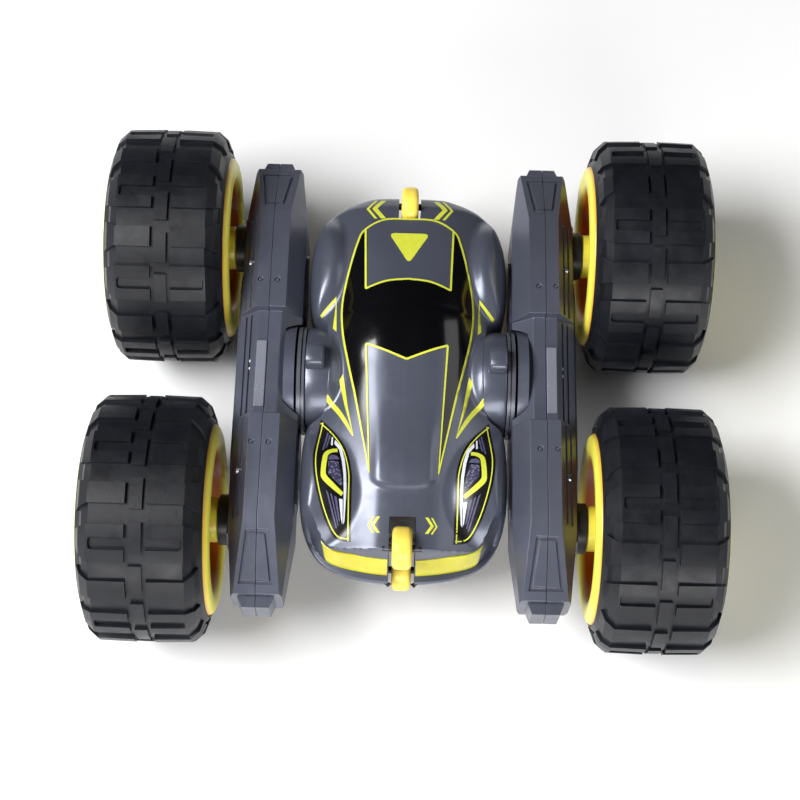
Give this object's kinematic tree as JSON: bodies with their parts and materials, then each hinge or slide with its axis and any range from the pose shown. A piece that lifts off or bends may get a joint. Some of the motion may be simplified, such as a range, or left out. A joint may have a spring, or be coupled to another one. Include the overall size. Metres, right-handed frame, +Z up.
{
  "type": "rc stunt car",
  "caption": "Double-sided radio-control stunt car: low car body between two rotating swing arms with big lugged balloon tyres on yellow rims.",
  "frame": {"origin": "on the ground, under the middle of the four wheels", "axes": "+X to the car's left-hand wheels as the nose points to -Y, +Z up"},
  "size_m": [0.1704, 0.152, 0.068],
  "materials": {
    "body_plastic": "metallic gunmetal grey, moulded, glossy",
    "arm_plastic": "gunmetal grey, moulded, semi-gloss",
    "canopy_gloss": "piano black, high gloss",
    "lens_yellow": "clear yellow-green moulded lens",
    "circuit_green": "solder mask",
    "battery_wrap": "shrink wrap",
    "black_plastic": "satin moulded",
    "roller_yellow": "warm yellow, smooth",
    "ring_plastic": "light grey, smooth",
    "brass_gear": "cut teeth",
    "steel": "bright zinc",
    "nylon_white": "moulded nylon",
    "tyre_rubber": "soft black, slight sheen",
    "rim_yellow": "moulded yellow"
  },
  "bodies": {
    "car_body": {"upper_shell": "body_plastic", "lower_shell": "body_plastic", "canopy_glass": "canopy_gloss", "headlamp_lens_left": "lens_yellow", "headlamp_lens_right": "lens_yellow", "headlamp_boards": "circuit_green", "battery_pack": "battery_wrap", "battery_door": "arm_plastic", "circuit_board": "circuit_green", "switch_housing": "black_plastic", "case_screws": "steel", "roller_pins": "black_plastic", "pivot_ring_left": "ring_plastic", "pivot_ring_right": "ring_plastic"},
    "switch_slider": {"switch_slider": "black_plastic"},
    "roller_front_upper": {"roller_front_upper": "roller_yellow"},
    "roller_front_lower": {"roller_front_lower": "roller_yellow"},
    "roller_rear_upper": {"roller_rear_upper": "roller_yellow"},
    "roller_rear_lower": {"roller_rear_lower": "roller_yellow"},
    "arm_left": {"arm_inner_shell_left": "arm_plastic", "arm_outer_shell_left": "arm_plastic", "pivot_hub_left": "arm_plastic", "motor_left": "steel", "gear_pins_left": "steel", "axle_bosses_left": "black_plastic", "arm_screws_left": "steel"},
    "wheel_rear_left": {"tyre_rear_left": "tyre_rubber", "rim_rear_left": "rim_yellow", "stub_axle_rear_left": "nylon_white", "wheel_screw_rear_left": "steel"},
    "wheel_front_left": {"tyre_front_left": "tyre_rubber", "rim_front_left": "rim_yellow", "stub_axle_front_left": "nylon_white", "wheel_screw_front_left": "steel"},
    "drive_idler_left": {"drive_idler_left": "nylon_white"},
    "centre_gear_left": {"centre_gear_left": "nylon_white"},
    "front_idler_left": {"front_idler_left": "nylon_white"},
    "motor_pinion_left": {"motor_pinion_left": "brass_gear"},
    "arm_right": {"arm_inner_shell_right": "arm_plastic", "arm_outer_shell_right": "arm_plastic", "pivot_hub_right": "arm_plastic", "motor_right": "steel", "gear_pins_right": "steel", "axle_bosses_right": "black_plastic", "arm_screws_right": "steel"},
    "wheel_rear_right": {"tyre_rear_right": "tyre_rubber", "rim_rear_right": "rim_yellow", "stub_axle_rear_right": "nylon_white", "wheel_screw_rear_right": "steel"},
    "wheel_front_right": {"tyre_front_right": "tyre_rubber", "rim_front_right": "rim_yellow", "stub_axle_front_right": "nylon_white", "wheel_screw_front_right": "steel"},
    "drive_idler_right": {"drive_idler_right": "nylon_white"},
    "centre_gear_right": {"centre_gear_right": "nylon_white"},
    "front_idler_right": {"front_idler_right": "nylon_white"},
    "motor_pinion_right": {"motor_pinion_right": "brass_gear"}
  },
  "joints": [
    {"name": "roller_front_upper_spin", "type": "hinge", "parent": "car_body", "child": "roller_front_upper", "pos_m": [0, -0.0521, 0.0442], "axis": [1, 0, 0], "continuous": true},
    {"name": "roller_front_lower_spin", "type": "hinge", "parent": "car_body", "child": "roller_front_lower", "pos_m": [0, -0.0521, 0.0238], "axis": [1, 0, 0], "continuous": true},
    {"name": "roller_rear_upper_spin", "type": "hinge", "parent": "car_body", "child": "roller_rear_upper", "pos_m": [0, 0.0515, 0.0442], "axis": [1, 0, 0], "continuous": true},
    {"name": "roller_rear_lower_spin", "type": "hinge", "parent": "car_body", "child": "roller_rear_lower", "pos_m": [0, 0.0515, 0.0238], "axis": [1, 0, 0], "continuous": true},
    {"name": "power_switch", "type": "slide", "parent": "car_body", "child": "switch_slider", "axis": [1, 0, 0], "range_m": [0, 0.004]},
    {"name": "swing_arm_left", "type": "hinge", "parent": "car_body", "child": "arm_left", "pos_m": [-0.026, 0, 0.034], "axis": [1, 0, 0], "continuous": true},
    {"name": "spin_wheel_rear_left", "type": "hinge", "parent": "arm_left", "child": "wheel_rear_left", "pos_m": [-0.0687, 0.042, 0.034], "axis": [1, 0, 0], "continuous": true},
    {"name": "spin_wheel_front_left", "type": "hinge", "parent": "arm_left", "child": "wheel_front_left", "pos_m": [-0.0687, -0.042, 0.034], "axis": [1, 0, 0], "continuous": true},
    {"name": "drive_idler_left_spin", "type": "hinge", "parent": "arm_left", "child": "drive_idler_left", "pos_m": [-0.041, 0.021, 0.034], "axis": [1, 0, 0], "continuous": true},
    {"name": "centre_gear_left_spin", "type": "hinge", "parent": "arm_left", "child": "centre_gear_left", "pos_m": [-0.04315, 0, 0.034], "axis": [1, 0, 0], "continuous": true},
    {"name": "front_idler_left_spin", "type": "hinge", "parent": "arm_left", "child": "front_idler_left", "pos_m": [-0.04315, -0.021, 0.034], "axis": [1, 0, 0], "continuous": true},
    {"name": "motor_pinion_left_spin", "type": "hinge", "parent": "arm_left", "child": "motor_pinion_left", "pos_m": [-0.041, 0.03535, 0.034], "axis": [1, 0, 0], "continuous": true},
    {"name": "swing_arm_right", "type": "hinge", "parent": "car_body", "child": "arm_right", "pos_m": [0.026, 0, 0.034], "axis": [1, 0, 0], "continuous": true},
    {"name": "spin_wheel_rear_right", "type": "hinge", "parent": "arm_right", "child": "wheel_rear_right", "pos_m": [0.0687, 0.042, 0.034], "axis": [1, 0, 0], "continuous": true},
    {"name": "spin_wheel_front_right", "type": "hinge", "parent": "arm_right", "child": "wheel_front_right", "pos_m": [0.0687, -0.042, 0.034], "axis": [1, 0, 0], "continuous": true},
    {"name": "drive_idler_right_spin", "type": "hinge", "parent": "arm_right", "child": "drive_idler_right", "pos_m": [0.041, 0.021, 0.034], "axis": [1, 0, 0], "continuous": true},
    {"name": "centre_gear_right_spin", "type": "hinge", "parent": "arm_right", "child": "centre_gear_right", "pos_m": [0.04315, 0, 0.034], "axis": [1, 0, 0], "continuous": true},
    {"name": "front_idler_right_spin", "type": "hinge", "parent": "arm_right", "child": "front_idler_right", "pos_m": [0.04315, -0.021, 0.034], "axis": [1, 0, 0], "continuous": true},
    {"name": "motor_pinion_right_spin", "type": "hinge", "parent": "arm_right", "child": "motor_pinion_right", "pos_m": [0.041, 0.03535, 0.034], "axis": [1, 0, 0], "continuous": true}
  ],
  "couplings": [
    {"joint": "drive_idler_left_spin", "follows": "spin_wheel_rear_left", "ratio": -1},
    {"joint": "centre_gear_left_spin", "follows": "spin_wheel_rear_left", "ratio": 1},
    {"joint": "front_idler_left_spin", "follows": "spin_wheel_rear_left", "ratio": -1},
    {"joint": "motor_pinion_left_spin", "follows": "spin_wheel_rear_left", "ratio": 3.5556},
    {"joint": "spin_wheel_front_left", "follows": "spin_wheel_rear_left", "ratio": 1},
    {"joint": "drive_idler_right_spin", "follows": "spin_wheel_rear_right", "ratio": -1},
    {"joint": "centre_gear_right_spin", "follows": "spin_wheel_rear_right", "ratio": 1},
    {"joint": "front_idler_right_spin", "follows": "spin_wheel_rear_right", "ratio": -1},
    {"joint": "motor_pinion_right_spin", "follows": "spin_wheel_rear_right", "ratio": 3.5556},
    {"joint": "spin_wheel_front_right", "follows": "spin_wheel_rear_right", "ratio": 1}
  ]
}
